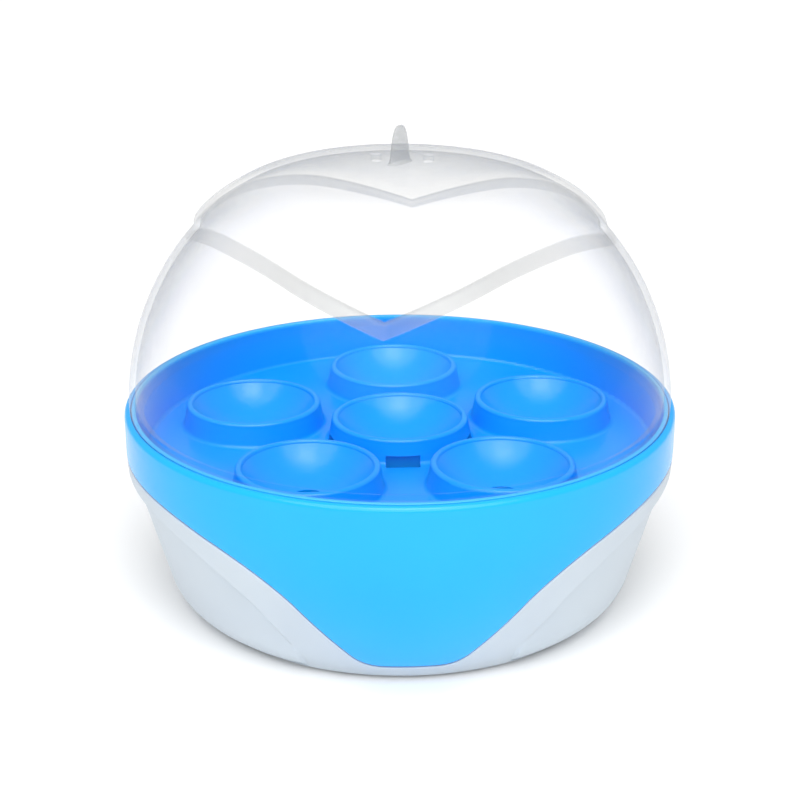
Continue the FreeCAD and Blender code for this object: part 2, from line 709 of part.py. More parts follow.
# Aluminium plate brazed under the well; it spreads the heat of the tubular element.
spreader = ring_body("heat_spreader",
                     [(0, D["spreader_z"]), (38, D["spreader_z"]), (38, D["well_floor"] - 0.02),
                      (0, D["well_floor"] - 0.02)])
BOSS_X = 15.0
section = new_sketch(spreader, "bracket_boss_outline", "XY_Plane", 22.6)
for x in (-BOSS_X, BOSS_X):
    circle(section, x, 0, 2.8)
    circle(section, x, 0, 1.1)
push(spreader, "bracket_bosses", section, D["spreader_z"] - 22.6 + 0.5)

# Tubular element: an open ring whose two ends turn down to the terminals.
element = new_body("heating_element")
ELEMENT_SWEEP = 310
section = new_sketch(element, "element_tube_outline")
tube_z = D["spreader_z"] - D["element_tube"] - 0.03
circle(section, D["element_circle"], tube_z, D["element_tube"])
ring = turn(element, "element_ring", section, angle=ELEMENT_SWEEP)
section = new_sketch(element, "terminal_outline", "XY_Plane", 15.4)
for degrees in (2, ELEMENT_SWEEP - 2):
    circle(section, *on_circle(D["element_circle"], degrees), 1.4)
push(element, "terminals", section, 8)
element.Placement = Placement(Vector(0, 0, 0), Rotation(Vector(0, 0, 1), -65))

# Boil-dry thermostat: round body with an aluminium cap against the spreader.
thermostat = ring_body("thermostat",
                       [(0, 17.6), (6.6, 17.6), (6.6, 22.4), (8.4, 22.4), (8.4, 23.6),
                        (7.8, 23.6), (7.8, D["spreader_z"] - 0.05), (0, D["spreader_z"] - 0.05)])
section = new_sketch(thermostat, "blade_outline_t", "XY_Plane", 11.6)
for x in (-4.4, 3.6):
    box_outline(section, x, -3.1, x + 0.8, 3.1)
push(thermostat, "blades", section, 6.4)

bracket = new_body("thermostat_bracket")
section = new_sketch(bracket, "bracket_outline", "XY_Plane", 21.4)
box_outline(section, -19, -5, 19, 5)
for x in (-BOSS_X, BOSS_X):
    circle(section, x, 0, 1.6)
push(bracket, "bracket_strap", section, 0.95)
section = new_sketch(bracket, "bracket_ring_outline", "XY_Plane", 21.4)
circle(section, 0, 0, 9.4)
push(bracket, "bracket_ring", section, 0.95)
section = new_sketch(bracket, "bracket_eye_outline", "XY_Plane", 21)
circle(section, 0, 0, 6.8)
push(bracket, "bracket_eye", section, 2, kind="Pocket", reverse=True)

screws = new_body("bracket_screws")
section = new_sketch(screws, "bracket_screw_section")
outline(section, [(BOSS_X, 18.9), (BOSS_X + 2.4, 19.6), (BOSS_X + 2.4, 21.35),
                  (BOSS_X + 1.05, 21.35), (BOSS_X + 1.05, 27.2), (BOSS_X, 27.2)], {0: 6})
line = section.addGeometry(Part.LineSegment(Vector(BOSS_X, 0, 0), Vector(BOSS_X, 10, 0)), True)
screw = turn(screws, "bracket_screw", section, axis=(section, ["Axis0"]))
around(screws, "bracket_screw_pair", [screw], 2)

# One-shot thermal fuse in a sleeve, strapped to the spreader.
fuse = new_body("thermal_fuse")
FUSE_Y = -16.0
section = new_sketch(fuse, "fuse_outline", "YZ_Plane")
circle(section, FUSE_Y, D["spreader_z"] - 2.3, 1.7)
push(fuse, "fuse_sleeve", section, 15, both=True)
section = new_sketch(fuse, "fuse_lead_outline", "YZ_Plane")
circle(section, FUSE_Y, D["spreader_z"] - 2.3, 0.6)
push(fuse, "fuse_leads", section, 23, both=True)
clip = new_body("fuse_clip")
section = new_sketch(clip, "clip_outline", "YZ_Plane")
clip_top = D["spreader_z"] - 0.03
outline(section, [(FUSE_Y - 6, clip_top), (FUSE_Y - 6, clip_top - 0.6),
                  (FUSE_Y - 2.9, clip_top - 0.6), (FUSE_Y - 2.9, clip_top - 2.3),
                  (FUSE_Y + 2.9, clip_top - 2.3), (FUSE_Y + 2.9, clip_top - 0.6),
                  (FUSE_Y + 6, clip_top - 0.6), (FUSE_Y + 6, clip_top),
                  (FUSE_Y + 2.3, clip_top), (FUSE_Y + 2.3, clip_top - 2.3),
                  (FUSE_Y - 2.3, clip_top - 2.3), (FUSE_Y - 2.3, clip_top)],
        {3: 2.95, 9: -2.35})
push(clip, "clip_strap", section, 6, both=True)

# ---------------------------------------------------------------- bottom
COVER_LOW = 1.3
COVER_WALL = 2.2
cover = ring_body("bottom_cover",
                  [(0, COVER_LOW), (D["cover_radius"], COVER_LOW),
                   (D["cover_radius"], COVER_LOW + COVER_WALL), (0, COVER_LOW + COVER_WALL)])
section = new_sketch(cover, "cover_screw_outline", "XY_Plane", 0)
circle(section, *on_circle(D["post_circle"], 45), 1.7)
hole = push(cover, "cover_screw_hole", section, 6, kind="Pocket", reverse=True)
around(cover, "cover_screw_holes", [hole], 4)
section = new_sketch(cover, "foot_recess_outline", "XY_Plane", 0)
circle(section, *on_circle(D["feet_circle"], 45), D["foot_radius"] + 0.15)
recess = push(cover, "foot_recess", section, COVER_LOW + 0.9, kind="Pocket", reverse=True)
around(cover, "foot_recesses", [recess], 4)
section = new_sketch(cover, "foot_peg_hole_outline", "XY_Plane", 0)
circle(section, *on_circle(D["feet_circle"], 45), 1.6)
hole = push(cover, "foot_peg_hole", section, 6, kind="Pocket", reverse=True)
around(cover, "foot_peg_holes", [hole], 4)
section = new_sketch(cover, "vent_outline", "XY_Plane", 0)
for x in (-12, -4, 4, 12):
    box_outline(section, x - 1.1, -40, x + 1.1, -24)
push(cover, "vents", section, 6, kind="Pocket", reverse=True)
section = new_sketch(cover, "block_fence_outline", "XY_Plane", COVER_LOW + COVER_WALL - 0.2)
box_outline(section, -16.2, 33.2, 16.2, 49.8)
box_outline(section, -14.2, 35.2, 14.2, 47.8)
push(cover, "block_fence", section, 3)

feet = new_body("rubber_feet")
section = new_sketch(feet, "foot_disc_outline", "XY_Plane", 0)
circle(section, *on_circle(D["feet_circle"], 45), D["foot_radius"])
disc = push(feet, "foot_disc", section, COVER_LOW + 0.85)
section = new_sketch(feet, "foot_peg_outline", "XY_Plane", 1)
circle(section, *on_circle(D["feet_circle"], 45), 1.5)
peg = push(feet, "foot_peg", section, 4.2)
around(feet, "four_feet", [disc, peg], 4)

screws = new_body("cover_screws")
section = new_sketch(screws, "cover_screw_head_outline", "XY_Plane", 0.35)
circle(section, *on_circle(D["post_circle"], 45), 2.8)
head = push(screws, "cover_screw_head", section, COVER_LOW - 0.4)
section = new_sketch(screws, "cover_screw_shank_outline", "XY_Plane", 1)
circle(section, *on_circle(D["post_circle"], 45), SCREW_CORE - 0.05)
shank = push(screws, "cover_screw_shank", section, 14)
section = new_sketch(screws, "cross_outline", "XY_Plane", 0)
x, y = on_circle(D["post_circle"], 45)
LONG = 1.6
THIN = 0.35
arm = [(THIN, LONG), (-THIN, LONG), (-THIN, THIN), (-LONG, THIN), (-LONG, -THIN), (-THIN, -THIN),
       (-THIN, -LONG), (THIN, -LONG), (THIN, -THIN), (LONG, -THIN), (LONG, THIN), (THIN, THIN)]
outline(section, [(x + u, y + v) for u, v in arm])
cross = push(screws, "cross", section, 0.9, kind="Pocket", reverse=True)
around(screws, "cover_screw_group", [head, shank, cross], 4)

# Terminal block for the incoming supply, inside a fence on the cover.
block = new_body("terminal_block")
BLOCK_LOW = COVER_LOW + COVER_WALL + 0.05
section = new_sketch(block, "block_outline", "XY_Plane", BLOCK_LOW)
box_outline(section, -13.9, 35.5, 13.9, 47.5)
push(block, "block_body", section, 9)
section = new_sketch(block, "block_barrier_outline", "XY_Plane", BLOCK_LOW + 8)
for x in (-12.6, -0.7, 11.2):
    box_outline(section, x, 36, x + 1.4, 47)
push(block, "block_barriers", section, 4)
clamps = new_body("terminal_clamps")
section = new_sketch(clamps, "clamp_plate_outline", "XY_Plane", BLOCK_LOW + 9.05)
for x in (-9.6, 1.9):
    box_outline(section, x, 37, x + 7.6, 46)
push(clamps, "clamp_plates", section, 1.6)
section = new_sketch(clamps, "clamp_screw_outline", "XY_Plane", BLOCK_LOW + 10)
for x in (-5.8, 5.7):
    circle(section, x, 41.5, 2.4)
push(clamps, "clamp_screw_heads", section, 2.6)

# ---------------------------------------------------------------- switch and cord gland
frame = new_body("switch_frame")
seat = D["seat_y"]
long_half = D["switch_width"] / 2
tall_half = D["switch_depth"] / 2
BEZEL = 1.8
section = new_sketch(frame, "bezel_outline", lift=-(seat + 0.05))
box_outline(section, -long_half, D["switch_z"] - tall_half, long_half, D["switch_z"] + tall_half)
push(frame, "bezel", section, BEZEL, reverse=True)
section = new_sketch(frame, "can_outline", lift=-(seat + 0.5))
box_outline(section, -9.3, D["switch_z"] - 6.2, 9.3, D["switch_z"] + 6.2)
push(frame, "can", section, 13.5)
section = new_sketch(frame, "rocker_well_outline", lift=-(seat - 7.5))
box_outline(section, -8.2, D["switch_z"] - 5.1, 8.2, D["switch_z"] + 5.1)
push(frame, "rocker_well", section, 20, kind="Pocket")
section = new_sketch(frame, "lug_outline", lift=-(seat - 12.5))
for x in (-6.5, 0.4, 5.7):
    box_outline(section, x, D["switch_z"] - 2.4, x + 0.8, D["switch_z"] + 2.4)
push(frame, "lugs", section, 6)

PIVOT_IN = 2.2
rocker = new_body("switch_rocker")
section = new_sketch(rocker, "rocker_outline", "XY_Plane", D["switch_z"] - 4.7)
pivot_y = seat - PIVOT_IN
outline(section, [(-7.2, 0.8), (-3.4, -3.4), (3.4, -3.4), (7.2, 0.8), (7.4, 4.9), (0, 3.6),
                  (-7.4, 4.9)], {4: -30, 5: -30})
push(rocker, "rocker_cap", section, 9.4)
ROCKER_REST = -8.0
rocker.Placement = Placement(Vector(0, pivot_y.value, 0),
                             Rotation(Vector(0, 0, 1), ROCKER_REST))

gland = new_body("cord_gland")
section = new_sketch(gland, "gland_section", "YZ_Plane")
bore = D["gland_bore"]
axis_z = D["gland_z"]
outline(section, [(62.6, axis_z + bore), (76.2, axis_z + bore), (76.2, axis_z + 5.2),
                  (75.4, axis_z + 6.0), (74.1, axis_z + 6.0), (74.1, axis_z + 4.2),
                  (64.2, axis_z + 4.2), (64.2, axis_z + 4.9), (62.6, axis_z + 4.3)], {2: 0.8})
line = section.addGeometry(
    Part.LineSegment(Vector(60, axis_z.value, 0), Vector(80, axis_z.value, 0)), True)
turn(gland, "gland_body", section, axis=(section, ["Axis0"]))

# ---------------------------------------------------------------- internal leads


def lead(name, spots, radius=1.1):
    """An insulated lead: straight runs joined by arcs of 0.45 of the shorter run."""
    points = [Vector(*spot) for spot in spots]
    edges = []
    start = points[0]
    for before, corner, after in zip(points, points[1:], points[2:]):
        run_in, run_out = corner - before, after - corner
        half_turn = run_in.getAngle(run_out) / 2
        trim = 0.45 * min(run_in.Length, run_out.Length)
        enter = corner - Vector(run_in).normalize() * trim
        leave = corner + Vector(run_out).normalize() * trim
        inward = (Vector(run_out).normalize() - Vector(run_in).normalize()).normalize()
        bend = trim / math.tan(half_turn)
        middle = corner + inward * (bend / math.cos(half_turn) - bend)
        edges.append(Part.LineSegment(start, enter).toShape())
        edges.append(Part.Arc(enter, middle, leave).toShape())
        start = leave
    edges.append(Part.LineSegment(start, points[-1]).toShape())
    path = Part.Wire(edges)
    way = points[1] - points[0]
    ring = Part.Wire([Part.Circle(points[0], way, radius).toShape()])
    node = doc.addObject("Part::Feature", name)
    node.Label = name
    node.Shape = path.makePipeShell([ring], True, True)
    nodes.append(node)


block_top = BLOCK_LOW + 10.65
fuse_z = D["spreader_z"].value - 2.3
LUG = (6.1, 60.5, 24.5)
BLADE = (4.0, 0.0, 11.5)
PIN = (13.2, -25.8, 15.3)
lead("live_lead", [(5.7, 48.2, block_top), (5.9, 54.0, block_top + 0.6), (6.1, 60.0, 18.5), LUG])
lead("neutral_lead", [(-5.8, 36.4, block_top), (-20, 26, 11), (-30, 4, 8), (-23, -21, 7.2),
                      (-4, -33, 7.2), (10, -30, 8.0), PIN])
lead("thermostat_lead", [(-LUG[0], LUG[1], LUG[2]), (-6.3, 59.2, 19.5), (-8, 48, 18.6),
                         (-9, 35, 17.8), (-7, 22, 11), (-4.6, 6, 7.5),
                         (-BLADE[0], BLADE[1], BLADE[2])])
lead("fuse_lead", [BLADE, (4.3, -2.6, 7.0), (10, -9.5, 9.0), (16.4, -14.2, 17),
                   (16.6, -16.0, fuse_z), (11.6, -16.0, fuse_z)])
lead("element_lead", [(-11.6, -16.0, fuse_z), (-16.6, -16.0, fuse_z), (-16.6, -17.8, 16.5),
                      (-14.0, -24.0, 10.4), (-PIN[0], PIN[1], PIN[2])])

# ---------------------------------------------------------------- checks and files
doc.recompute()
for item in doc.Objects:
    bad = [flag for flag in item.State if flag in ("Invalid", "Error")]
    if bad:
        raise RuntimeError(f"{item.Name}: {item.State}")
os.makedirs("parts", exist_ok=True)
for node in nodes:
    shape = node.Shape
    if shape.isNull() or not shape.isValid():
        raise RuntimeError(f"{node.Label}: bad shape")
    print(node.Label, "solids", len(shape.Solids), "volume", round(shape.Volume, 1))
for node in nodes:
    node.Shape.exportStep(f"parts/{node.Label}.step")
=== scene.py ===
import functools
import math

import bmesh
import bpy
import numpy as np
from mathutils import Matrix, Vector


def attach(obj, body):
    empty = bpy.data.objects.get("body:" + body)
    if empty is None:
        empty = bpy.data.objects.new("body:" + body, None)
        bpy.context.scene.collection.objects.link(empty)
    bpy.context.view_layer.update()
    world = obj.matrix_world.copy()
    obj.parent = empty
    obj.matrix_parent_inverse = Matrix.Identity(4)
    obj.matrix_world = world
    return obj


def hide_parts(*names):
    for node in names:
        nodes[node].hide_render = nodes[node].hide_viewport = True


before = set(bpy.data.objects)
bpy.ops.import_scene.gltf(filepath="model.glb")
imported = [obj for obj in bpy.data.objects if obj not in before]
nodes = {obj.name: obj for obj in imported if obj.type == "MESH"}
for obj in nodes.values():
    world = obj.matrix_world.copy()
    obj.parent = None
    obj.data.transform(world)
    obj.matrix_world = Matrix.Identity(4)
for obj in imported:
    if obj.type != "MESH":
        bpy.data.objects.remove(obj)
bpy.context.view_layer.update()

# ---- white lower housing -------------------------------------------------------
# Satin white polypropylene moulding that the cooker stands on: a bowl behind the blue
# shield, a proud strip that frames it and two lobes at the sides, set back by a soft crease.
MM = 0.001
RIM_RADIUS = 85.0
BODY_ARC = 82.0
BODY_ARC_Z = 52.0
FOOT_Z = 1.2
FOOT_IN = 64.0
COLUMNS = 360
MERGE = 0.002


def side(z, inset=0.0):
    """Radius of the base's flank at height z, inset from its outer surface."""
    rise = min(z, BODY_ARC_Z) - BODY_ARC_Z
    return RIM_RADIUS - BODY_ARC + math.sqrt((BODY_ARC - inset) ** 2 - rise ** 2)


def arc(start, stop, radius, count=24):
    """Points after start, up to stop, on an arc that turns left for a positive radius."""
    a, b = Vector(start), Vector(stop)
    chord = b - a
    reach = math.sqrt(radius ** 2 - chord.length ** 2 / 4)
    left = Vector((-chord.y, chord.x)).normalized()
    centre = (a + b) / 2 + left * math.copysign(reach, radius)
    first, last = a - centre, b - centre
    begin = math.atan2(first.y, first.x)
    sweep = math.atan2(first.cross(last), first.dot(last))
    return [(centre.x + abs(radius) * math.cos(begin + sweep * i / count),
             centre.y + abs(radius) * math.sin(begin + sweep * i / count))
            for i in range(1, count + 1)]


def height_on(curve, x):
    """Height of an outline, given as (x, z) points from the middle outwards."""
    return float(np.interp(abs(x), [p[0] for p in curve], [p[1] for p in curve]))


MEET_START = 30.0
MEET_STEPS = 60


@functools.lru_cache(maxsize=None)
def meet(outline, angle, radius_at):
    """Height where a named outline crosses the flank at an angle from the front."""
    z = MEET_START
    for _ in range(MEET_STEPS):
        z += 0.5 * (height_on(OUTLINES[outline], radius_at(z) * math.sin(angle)) - z)
    return z


def soft(t):
    """Smooth step from 0 to 1."""
    t = min(max(t, 0.0), 1.0)
    return t * t * (3 - 2 * t)


def mix(a, b, t):
    """The value a share t of the way from a to b."""
    return a + (b - a) * t


def fold(angle):
    """The angle from the front or the back, whichever is nearer."""
    return round(min(abs(angle), math.pi - abs(angle)), 5)


def unfold(folded, angle):
    """A folded angle on the side and half of the angle it came from."""
    part = folded if abs(angle) <= math.pi / 2 else math.pi - folded
    return math.copysign(part, angle)


def turned(rows, columns, place, closed=True, turn=0.0):
    """A line of rows spun about Z, then slid into shape: place(row, angle) gives each
    vertex's angle from the front, its radius and its height."""
    form = bmesh.new()
    row_of = form.verts.layers.int.new("row")
    line = []
    for row in range(rows):
        vert = form.verts.new((0, -RIM_RADIUS * MM, row * MM))
        vert[row_of] = row
        line.append(vert)
    ends = line[1:] + line[:1] if closed else line[1:]
    edges = [form.edges.new(pair) for pair in zip(line, ends)]
    bmesh.ops.spin(form, geom=line + edges, cent=(0, 0, 0), axis=(0, 0, 1),
                   angle=2 * math.pi, steps=columns, use_merge=True)
    for vert in form.verts:
        angle = math.atan2(vert.co.x, -vert.co.y)
        angle, radius, height = place(vert[row_of], angle)
        angle += turn
        vert.co = Vector((radius * math.sin(angle), -radius * math.cos(angle), height)) * MM
    bmesh.ops.remove_doubles(form, verts=form.verts[:], dist=MERGE * MM)
    bmesh.ops.recalc_face_normals(form, faces=form.faces[:])
    return form


def object_from(name, form, sharp=40):
    """Turn a bmesh into an object with smooth faces, sharp only at hard corners."""
    mesh = bpy.data.meshes.new(name)
    form.to_mesh(mesh)
    form.free()
    for face in mesh.polygons:
        face.use_smooth = True
    mesh.set_sharp_from_angle(angle=math.radians(sharp))
    piece = bpy.data.objects.new(name, mesh)
    bpy.context.scene.collection.objects.link(piece)
    return piece


def cut(piece, form, operation="DIFFERENCE"):
    """Cut a closed form out of a piece, or join it on."""
    tool = object_from("cutter", form)
    change = piece.modifiers.new("cut", "BOOLEAN")
    change.operation = operation
    change.solver = "EXACT"
    change.object = tool
    bpy.context.view_layer.update()
    graph = bpy.context.evaluated_depsgraph_get()
    mesh = bpy.data.meshes.new_from_object(piece.evaluated_get(graph))
    piece.modifiers.clear()
    piece.data = mesh
    bpy.data.objects.remove(tool)


# The shield's edge and the lobes' crease, each from the middle outwards, seen from the front.
SHIELD = [(0, 5.8), (8, 5.8)] + arc((8, 5.8), (16.5, 9.6), 12) + [(33.5, 28.6)]
SHIELD += arc((33.5, 28.6), (58, 43.1), -63) + arc((58, 43.1), (86, 47.9), -76)
CREASE = [(28.8, -2.0), (31.3, 8.0), (44.0, 23.6)]
CREASE += arc((44.0, 23.6), (72.9, 40.6), -77, 60) + arc((72.9, 40.6), (90, 43.6), -70, 60)
LOBE = [(66.3, FOOT_Z)] + arc((66.3, FOOT_Z), (73.5, 9.8), 12) + [(82.9, 43.0), (84.0, 47.0)]
OUTLINES = {"shield": SHIELD}
SHELL_GAP = 0.3
STEP_HALF = 0.9
BOWL_TOP = 42.4
WINDOW_HALF = 13.4
WINDOW_SILL = 17.8
QUARTER = math.pi / 2


def lobe(z):
    """Radius of a lobe's surface at height z."""
    return float(np.interp(z, [p[1] for p in LOBE], [p[0] for p in LOBE]))


# The crease as (angle, height) with its length measured along the flank. ARC_SCALE is
# about the flank's radius, and turns an angle into millimetres.
ARC_SCALE = 80.0
CREASE_PARTS = 12
crease_angle, crease_z = [], []
for (x0, z0), (x1, z1) in zip(CREASE, CREASE[1:]):
    for k in range(CREASE_PARTS):
        x, z = mix(x0, x1, k / CREASE_PARTS), mix(z0, z1, k / CREASE_PARTS)
        if z > FOOT_Z and x < side(z):
            crease_angle.append(math.asin(x / side(z)))
            crease_z.append(z)
crease_angle.append(QUARTER)
crease_z.append(crease_z[-1])
crease_angle = np.array(crease_angle)
crease_z = np.array(crease_z)
crease_steps = np.hypot(np.diff(crease_angle) * ARC_SCALE, np.diff(crease_z))
crease_run = np.concatenate([[0], np.cumsum(crease_steps)])
FOOT_SHARE = 0.24
NEARLY_SIDE = 0.995
AT_SIDE = 0.9999
FADE_HEIGHT = 3.0
foot_angle = float(crease_angle[0])


def crease_point(share, offset):
    """Angle and height on the crease, offset square to it, upwards for a positive offset."""
    run = share * crease_run[-1]
    behind, here, ahead = [
        [float(np.interp(run + step, crease_run, values)) for values in (crease_angle, crease_z)]
        for step in (-1, 0, 1)]
    along = Vector(((ahead[0] - behind[0]) * ARC_SCALE, ahead[1] - behind[1]))
    if share > NEARLY_SIDE:
        along = Vector((1, 0))
    along.normalize()
    reach = offset * soft((here[1] - FOOT_Z) / FADE_HEIGHT)
    angle = min(here[0] - along.y * reach / ARC_SCALE, QUARTER)
    if share > AT_SIDE:
        angle = QUARTER
    return angle, here[1] + along.x * reach


TOP_ROWS, STRIP_ROWS, STEP_ROWS, LOBE_ROWS, FOOT_ROWS, BACK_ROWS = 5, 16, 6, 18, 4, 9
EDGE_ROUND = 0.5
LOBE_FADE = 8.0
BACK_FOOT = 6.0
BACK_INSET = 4.8
FRONT_INSET = 2.8


def lower_place(row, angle):
    """Where a vertex of the lower housing goes."""
    share = fold(angle) / QUARTER
    top_angle = fold(angle)
    top = meet("shield", top_angle, side) - SHELL_GAP
    outer = max(share - FOOT_SHARE, 0) / (1 - FOOT_SHARE)
    low_angle = foot_angle * min(share / FOOT_SHARE, 1) + (QUARTER - foot_angle) * outer
    if row < TOP_ROWS:
        bend = QUARTER * row / (TOP_ROWS - 1)
        inset = EDGE_ROUND * (1 - math.sin(bend))
        z = top - EDGE_ROUND * (1 - math.cos(bend))
        return unfold(top_angle, angle), side(z) - inset, z
    row -= TOP_ROWS
    upper = crease_point(outer, STEP_HALF) if outer > 0 else (low_angle, FOOT_Z + EDGE_ROUND)
    if row < STRIP_ROWS:
        t = (row + 1) / (STRIP_ROWS + 1)
        z = mix(top - EDGE_ROUND, upper[1], t)
        return unfold(mix(top_angle, upper[0], t), angle), side(z), z
    row -= STRIP_ROWS
    if row < STEP_ROWS:
        t = row / (STEP_ROWS - 1)
        if outer == 0:
            return unfold(low_angle, angle), side(upper[1]), upper[1]
        spot, z = crease_point(outer, mix(STEP_HALF, -STEP_HALF, t))
        return unfold(spot, angle), mix(side(z), lobe(z), soft(t)), z
    row -= STEP_ROWS
    if row < LOBE_ROWS:
        if outer == 0:
            return unfold(low_angle, angle), side(upper[1]), upper[1]
        t = (row + 1) / LOBE_ROWS
        spot, z = crease_point(outer, -STEP_HALF)
        z = mix(z, min(FOOT_Z + EDGE_ROUND, z), t)
        return unfold(mix(spot, low_angle, t), angle), lobe(z), z
    row -= LOBE_ROWS
    foot_radius = mix(side(FOOT_Z + EDGE_ROUND), lobe(FOOT_Z + EDGE_ROUND),
                      soft(outer * LOBE_FADE))
    if row < FOOT_ROWS:
        bend = QUARTER * (row + 1) / FOOT_ROWS
        inset = EDGE_ROUND * (1 - math.cos(bend))
        z = FOOT_Z + EDGE_ROUND * (1 - math.sin(bend))
        return unfold(low_angle, angle), foot_radius - inset, z
    row -= FOOT_ROWS
    if row == 0:
        return angle, FOOT_IN, FOOT_Z
    row -= 1
    behind_switch = abs(angle) > QUARTER and RIM_RADIUS * math.sin(top_angle) < WINDOW_HALF
    bowl_top = WINDOW_SILL if behind_switch else BOWL_TOP
    if row < BACK_ROWS:
        z = mix(BACK_FOOT, bowl_top, row / (BACK_ROWS - 1))
        return angle, side(z, BACK_INSET), z
    row -= BACK_ROWS
    z = mix(bowl_top, top - 0.1, row / (BACK_ROWS - 1))
    return angle, side(z, FRONT_INSET), z


lower_rows = TOP_ROWS + STRIP_ROWS + STEP_ROWS + LOBE_ROWS + FOOT_ROWS + 1 + 2 * BACK_ROWS
lower = object_from("white_base", turned(lower_rows, COLUMNS, lower_place))

# The bore at the back that the cord gland passes through.
GLAND_Z = 10.8
GLAND_Y = 76.0
GLAND_LENGTH = 20.0
GLAND_BORE = 4.4


def gland_bore(radius):
    """A rod along Y where the cord gland passes through the housings."""
    rod = bmesh.new()
    bmesh.ops.create_cone(rod, cap_ends=True, segments=96, radius1=radius * MM,
                          radius2=radius * MM, depth=GLAND_LENGTH * MM)
    bmesh.ops.rotate(rod, verts=rod.verts[:], cent=(0, 0, 0),
                     matrix=Matrix.Rotation(QUARTER, 3, "X"))
    bmesh.ops.translate(rod, verts=rod.verts[:], vec=(0, GLAND_Y * MM, GLAND_Z * MM))
    return rod


cut(lower, gland_bore(GLAND_BORE))
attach(lower, "base")
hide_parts("lower_housing")


def hexcolour(code):
    """An sRGB hex colour as the linear values that a shader takes."""
    parts = [int(code[i:i + 2], 16) / 255 for i in (0, 2, 4)]
    return [c / 12.92 if c <= 0.04045 else ((c + 0.055) / 1.055) ** 2.4 for c in parts] + [1.0]


def add(material, kind, settings=None, links=None, **properties):
    """Add a node; settings fill its input sockets, links feed them from other sockets."""
    node = material.node_tree.nodes.new(kind)
    for name, value in properties.items():
        setattr(node, name, value)
    for socket, value in (settings or {}).items():
        node.inputs[socket].default_value = value
    for socket, source in (links or {}).items():
        material.node_tree.links.new(source, node.inputs[socket])
    return node


def finish(name, light, dark, rough, cloud_mm, grain_mm, grain_depth_mm, stretch=(1, 1, 1),
           **shader_settings):
    """A surface with two close shades in soft clouds, uneven gloss and a fine grain."""
    material = bpy.data.materials.new(name)
    material.use_nodes = True
    material.node_tree.nodes.clear()
    place = add(material, "ShaderNodeTexCoord")
    spread = add(material, "ShaderNodeMapping", {"Scale": stretch},
                 {"Vector": place.outputs["Object"]})
    clouds = add(material, "ShaderNodeTexNoise", {"Scale": 1000 / cloud_mm, "Detail": 3.0},
                 {"Vector": spread.outputs[0]})
    ramp = add(material, "ShaderNodeValToRGB", None, {"Fac": clouds.outputs["Fac"]})
    ramp.color_ramp.elements[0].position = 0.35
    ramp.color_ramp.elements[0].color = hexcolour(dark)
    ramp.color_ramp.elements[1].position = 0.65
    ramp.color_ramp.elements[1].color = hexcolour(light)
    gloss = add(material, "ShaderNodeMapRange",
                {"To Min": rough * 0.85, "To Max": rough * 1.15}, {"Value": clouds.outputs["Fac"]})
    grain = add(material, "ShaderNodeTexNoise", {"Scale": 1000 / grain_mm, "Detail": 2.0},
                {"Vector": spread.outputs[0]})
    bump = add(material, "ShaderNodeBump", {"Strength": 1.0, "Distance": grain_depth_mm * MM},
               {"Height": grain.outputs["Fac"]})
    shader = add(material, "ShaderNodeBsdfPrincipled", shader_settings,
                 {"Base Color": ramp.outputs["Color"], "Roughness": gloss.outputs["Result"],
                  "Normal": bump.outputs["Normal"]})
    add(material, "ShaderNodeOutputMaterial", None, {"Surface": shader.outputs[0]})
    return material


# Polypropylene, moulded in a spark-eroded tool: cool white, satin, with a very fine grain.
# The grain is drawn at 0.9 mm, three times its real size, so that it can show at all.
POLYPROPYLENE_IOR = 1.49
white_plastic = finish("white_polypropylene", "C5CFD7", "C0CAD3", 0.42, 45, 0.9, 0.006,
                       **{"IOR": POLYPROPYLENE_IOR, "Subsurface Weight": 0.1,
                          "Subsurface Radius": (1, 1, 1), "Subsurface Scale": 0.002})
lower.data.materials.append(white_plastic)


def wear(material, *names):
    """Give a material to CAD pieces that are shown as they are."""
    for name in names:
        nodes[name].data.materials.clear()
        nodes[name].data.materials.append(material)


# ---- bottom cover, its screws and the feet ----------------------------------------
# The cover is a flat moulding in the same white plastic, held by four zinc-plated screws;
# the feet are soft rubber buttons pushed into it.
wear(white_plastic, "bottom_cover")

# Zinc-plated steel: bright grey with small cloudy patches, as a barrel-plated screw has.
zinc_steel = finish("zinc_plated_steel", "C6CACC", "A9AEB3", 0.34, 6, 0.6, 0.004,
                    Metallic=1.0)
wear(zinc_steel, "cover_screws")

# Moulded rubber, pale grey: matt, with a fine tooth that takes the shine off it.
pale_rubber = finish("pale_grey_rubber", "BEC2C3", "B1B5B7", 0.75, 12, 0.8, 0.02)
wear(pale_rubber, "rubber_feet")

# ---- water well, seal and clamp ring ----------------------------------------------
# A pan spun from stainless sheet, sealed to the housing by a silicone ring and drawn down
# by a steel ring and nuts on its welded studs.
# Brushed stainless: the brush ran round the pan, so its marks are thin in height only.
BRUSH_STRETCH = (1, 1, 12)
wear(finish("brushed_stainless", "D2D0CB", "BDBBB6", 0.3, 30, 0.9, 0.006, BRUSH_STRETCH,
            Metallic=1.0), "water_well")

# Translucent silicone: milky white, with a soft skin that lets some light in.
wear(finish("milky_silicone", "E4E7E6", "D9DDDC", 0.5, 15, 0.8, 0.01,
            **{"Subsurface Weight": 0.3, "Subsurface Radius": (1, 1, 1),
               "Subsurface Scale": 0.002}), "well_seal")
wear(zinc_steel, "clamp_ring", "stud_nuts")

# ---- heater -----------------------------------------------------------------------
# A tubular element cast against an aluminium plate that spreads its heat under the well.
# Rolled aluminium: pale and soft in shine, with rolling marks along one direction.
ROLLING_STRETCH = (1, 12, 1)
wear(finish("rolled_aluminium", "D8D9DA", "C6C8CA", 0.32, 25, 0.8, 0.005, ROLLING_STRETCH,
            Metallic=1.0), "heat_spreader")

# Steel tube that has been red hot: brown and grey oxide in patches, half dull.
wear(finish("heat_stained_steel", "93826F", "5A534E", 0.42, 5, 0.7, 0.01, Metallic=1.0),
     "heating_element")

